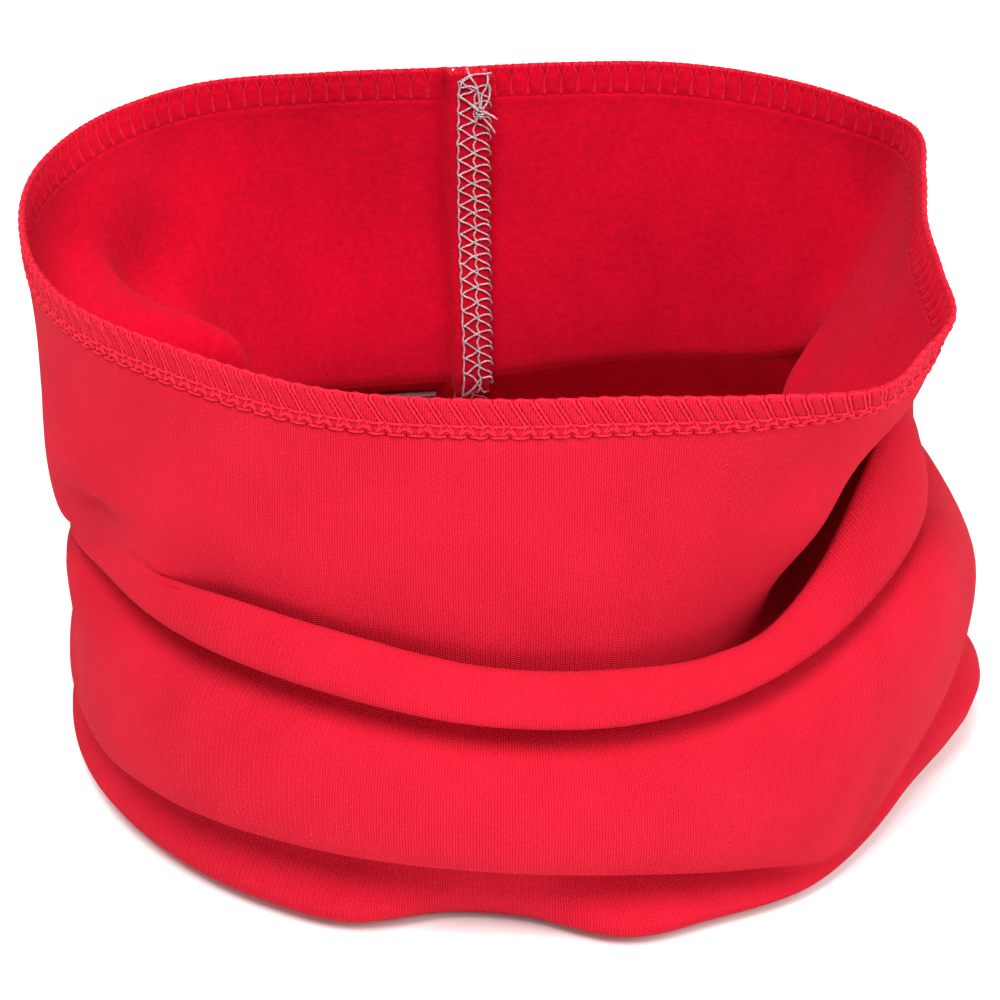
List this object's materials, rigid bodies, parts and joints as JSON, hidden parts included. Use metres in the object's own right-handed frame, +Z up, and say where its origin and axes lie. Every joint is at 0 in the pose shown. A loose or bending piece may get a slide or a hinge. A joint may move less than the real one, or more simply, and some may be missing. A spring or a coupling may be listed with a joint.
{
  "type": "neck gaiter",
  "caption": "Slouched tube neck gaiter of red stretch knit with one overlocked back seam, overlocked raw edges and a sewn-in label.",
  "frame": {"origin": "middle of the gaiter's box, on the surface that it stands on", "axes": "+Z up through the neck opening, +X to the wearer's view right along the longest side, +Y towards the back seam"},
  "size_m": [0.1724, 0.1586, 0.1006],
  "materials": {
    "red_knit": "matte stretch jersey, brushed on the inside",
    "red_thread": "soft textured polyester overlock thread",
    "grey_thread": "slightly shiny polyester overlock thread",
    "white_satin": "smooth satin tape"
  },
  "bodies": {
    "tube": {"body_panel": "red_knit", "seam_needle_thread_one": "grey_thread", "seam_needle_thread_two": "grey_thread", "seam_upper_looper_thread": "grey_thread", "seam_lower_looper_thread": "grey_thread", "bottom_needle_thread_one": "red_thread", "bottom_needle_thread_two": "red_thread", "bottom_upper_looper_thread": "red_thread", "bottom_lower_looper_thread": "red_thread"},
    "top_edge": {"top_needle_thread_one": "red_thread", "top_needle_thread_two": "red_thread", "top_upper_looper_thread": "red_thread", "top_lower_looper_thread": "red_thread", "seam_thread_tail": "grey_thread"},
    "label": {"care_label": "white_satin"}
  },
  "joints": [
    {"name": "pull_up", "type": "slide", "parent": "tube", "child": "top_edge", "axis": [0, 0, 1], "range_m": [0, 0.07], "deforming": ["body_panel", "seam_needle_thread_one", "seam_needle_thread_two", "seam_upper_looper_thread", "seam_lower_looper_thread"]},
    {"name": "label_swing", "type": "hinge", "parent": "tube", "child": "label", "pos_m": [-0.0149, 0.0749, 0.018], "axis": [0, 0, 1], "range_deg": [0, 85]}
  ]
}
